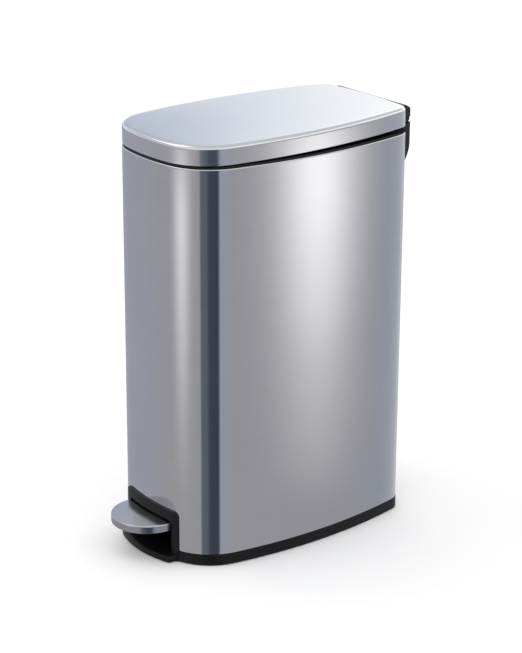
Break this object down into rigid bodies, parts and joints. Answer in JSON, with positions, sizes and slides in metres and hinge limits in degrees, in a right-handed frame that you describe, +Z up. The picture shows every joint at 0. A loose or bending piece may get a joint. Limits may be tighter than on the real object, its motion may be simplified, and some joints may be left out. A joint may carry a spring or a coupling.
{
  "type": "pedal trash can",
  "caption": "Slim rectangular step-on bin: satin steel body and lid, black base, hinge cover and pedal surround, removable inner bucket, pedal-driven lid.",
  "frame": {"origin": "on the floor, under the middle of the bin's footprint from pedal tip to hinge cover", "axes": "+Z up; the pedal faces -Y and the lid hinge is at +Y; +X is the width"},
  "size_m": [0.2572, 0.4774, 0.6418],
  "materials": {
    "satin_steel": "satin, fine level grain",
    "zinc_steel": "zinc plated",
    "black_plastic": "satin moulded",
    "rim_plastic": "fine textured",
    "bucket_plastic": "fine textured polypropylene",
    "rubber": "matt"
  },
  "bodies": {
    "bin_body": {"outer_shell": "satin_steel", "base": "black_plastic", "rubber_feet": "rubber", "top_rim": "rim_plastic", "lid_bumpers": "rubber", "pedal_surround": "black_plastic", "surround_screws": "zinc_steel", "pivot_bracket": "zinc_steel", "bracket_rivets": "zinc_steel", "pivot_pin": "zinc_steel", "pivot_clip": "zinc_steel", "hinge_bracket": "zinc_steel", "hinge_rivets": "zinc_steel", "hinge_pin": "zinc_steel", "hinge_cover_lower": "black_plastic", "cover_screws": "zinc_steel", "damper_bracket": "zinc_steel", "damper_screws": "zinc_steel", "damper_cylinder": "black_plastic"},
    "lid": {"lid_cap": "satin_steel", "lid_liner": "rim_plastic", "lid_screws": "zinc_steel", "lid_arm": "zinc_steel", "hinge_cover_upper": "black_plastic"},
    "rod": {"lift_rod": "zinc_steel", "rod_clips": "zinc_steel"},
    "pedal": {"pedal_lever": "zinc_steel", "pedal_core": "black_plastic", "pedal_cap": "satin_steel", "pedal_screws": "zinc_steel"},
    "damper": {"damper_plunger": "zinc_steel"},
    "bucket": {"inner_bucket": "bucket_plastic"}
  },
  "joints": [
    {"name": "lid_hinge", "type": "hinge", "parent": "bin_body", "child": "lid", "pos_m": [0, 0.23355, 0.616], "axis": [-1, 0, 0], "range_deg": [0, 85]},
    {"name": "rod_hinge", "type": "hinge", "parent": "lid", "child": "rod", "pos_m": [0, 0.21733, 0.60114], "axis": [-1, 0, 0], "range_deg": [-85, 0]},
    {"name": "pedal_hinge", "type": "hinge", "parent": "bin_body", "child": "pedal", "pos_m": [0, 0.00525, 0.04], "axis": [1, 0, 0], "range_deg": [0, 8.02]},
    {"name": "damper_slide", "type": "slide", "parent": "bin_body", "child": "damper", "axis": [0, 0, 1], "range_m": [0, 0.02797]},
    {"name": "bucket_lift", "type": "slide", "parent": "bin_body", "child": "bucket", "axis": [0, 0, 1], "range_m": [0, 0.012]}
  ],
  "couplings": [
    {"joint": "rod_hinge", "follows": "lid_hinge", "ratio": -1},
    {"joint": "pedal_hinge", "follows": "lid_hinge", "ratio": 0.094325},
    {"joint": "damper_slide", "follows": "lid_hinge", "m_per_rad": 0.01885}
  ]
}
